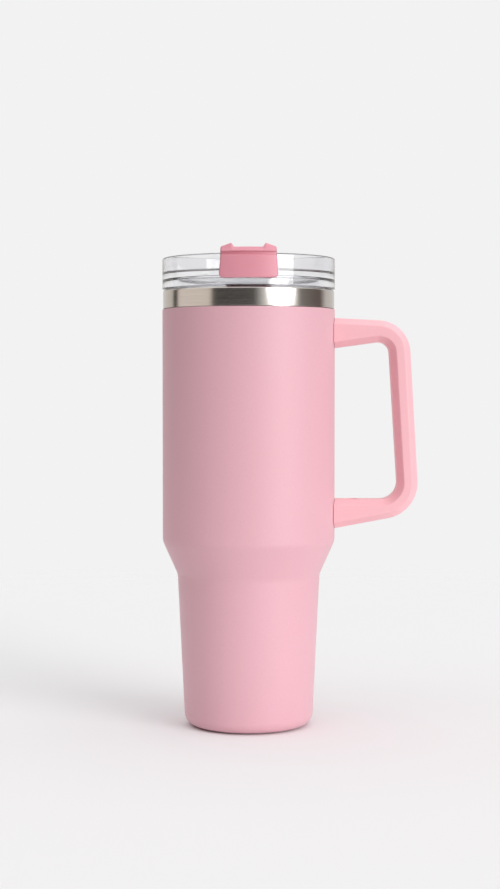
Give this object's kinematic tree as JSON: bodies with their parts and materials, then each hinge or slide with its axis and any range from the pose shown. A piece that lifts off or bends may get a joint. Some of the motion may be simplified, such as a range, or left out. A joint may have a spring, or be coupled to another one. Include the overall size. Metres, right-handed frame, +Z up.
{
  "type": "insulated tumbler with lid",
  "caption": "Tall double-walled steel tumbler with a stepped-in base, a side handle and a clear press-in lid whose flip cap closes the drinking hole.",
  "frame": {"origin": "centre of the base, on the flat underside of the base pad that the tumbler stands on", "axes": "+Z up along the cup's axis, +X towards the handle, -Y towards the drinking side of the lid"},
  "size_m": [0.1478, 0.1032, 0.2763],
  "materials": {
    "bare_steel": "brushed round the lip, satin inside",
    "plain_steel": "plain",
    "copper_foil": "bright foil",
    "pink_coat": "fine matt powder coat",
    "pink_plastic": "satin moulded",
    "clear_plastic": "clear polished moulding",
    "white_silicone": "soft matt",
    "pink_silicone": "soft matt",
    "grey_silicone": "soft matt",
    "solder": "dull"
  },
  "bodies": {
    "cup": {"inner_liner": "bare_steel", "radiation_foil": "copper_foil", "getter": "plain_steel", "outer_shell": "pink_coat", "outer_bottom": "plain_steel", "vacuum_seal": "solder", "base_pad": "grey_silicone", "handle": "pink_plastic", "upper_bracket": "plain_steel", "lower_bracket": "plain_steel", "upper_screw": "plain_steel", "lower_screw": "plain_steel", "upper_screw_plug": "pink_plastic", "lower_screw_plug": "pink_plastic"},
    "seal": {"lid_seal": "white_silicone"},
    "lid": {"lid_body": "clear_plastic", "hinge_pin": "plain_steel"},
    "cap": {"flip_cap": "pink_plastic", "spout_plug": "pink_silicone", "vent_plug": "pink_silicone"}
  },
  "joints": [
    {"name": "lid_lift", "type": "slide", "parent": "cup", "child": "seal", "axis": [0, 0, 1], "range_m": [0, 0.06]},
    {"name": "lid_turn", "type": "hinge", "parent": "seal", "child": "lid", "pos_m": [0, 0, 0.2475], "axis": [0, 0, 1], "continuous": true},
    {"name": "cap_flip", "type": "hinge", "parent": "lid", "child": "cap", "pos_m": [0, 0.01, 0.267], "axis": [-1, 0, 0], "range_deg": [0, 110]}
  ]
}
